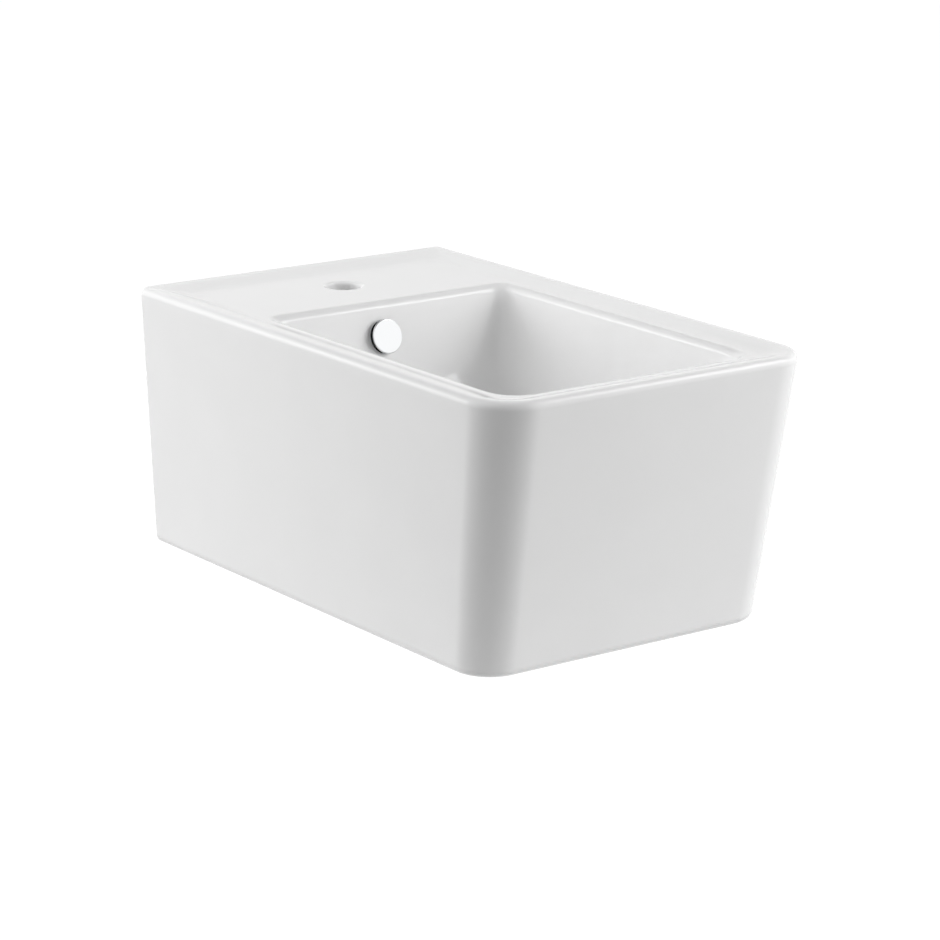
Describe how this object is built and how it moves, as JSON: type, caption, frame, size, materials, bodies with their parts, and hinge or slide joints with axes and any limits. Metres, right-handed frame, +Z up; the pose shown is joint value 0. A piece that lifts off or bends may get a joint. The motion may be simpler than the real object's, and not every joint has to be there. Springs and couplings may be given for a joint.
{
  "type": "wall-hung bidet",
  "caption": "Wall-hung bidet: a tapered ceramic box with a sloping rectangular bowl, a tap hole in the rear deck, a round chrome overflow cap and a push-open waste.",
  "frame": {"origin": "on the wall plane, midway between the two fixing studs", "axes": "+X right as seen from the front, +Y into the wall, +Z up; the front of the bidet points to -Y"},
  "size_m": [0.359, 0.6287, 0.257],
  "materials": {
    "glazed_ceramic": "gloss",
    "chrome": "polished",
    "seal_rubber": "matte",
    "white_plastic": "satin",
    "orange_plastic": "satin",
    "brass": "satin",
    "steel": "satin"
  },
  "bodies": {
    "basin": {"ceramic_body": "glazed_ceramic", "overflow_ring": "chrome", "overflow_cap": "chrome", "overflow_gasket": "seal_rubber", "waste_body": "chrome", "waste_top_gasket": "seal_rubber", "waste_cone_seal": "seal_rubber", "waste_slip_washer": "white_plastic", "waste_back_nut": "brass", "cartridge_housing": "white_plastic", "cartridge_collar": "white_plastic", "plug_spring": "steel", "wall_studs": "steel", "stud_sleeves": "white_plastic", "rubber_washers": "seal_rubber", "steel_washers": "steel", "stud_nuts": "steel"},
    "plug": {"plug_cover": "chrome", "plug_seal": "seal_rubber", "plug_stem": "brass", "index_ring": "orange_plastic"}
  },
  "joints": [
    {"name": "plug_slide", "type": "slide", "parent": "basin", "child": "plug", "axis": [0, 0, 1], "range_m": [-0.008, 0], "deforming": ["plug_spring"]}
  ]
}
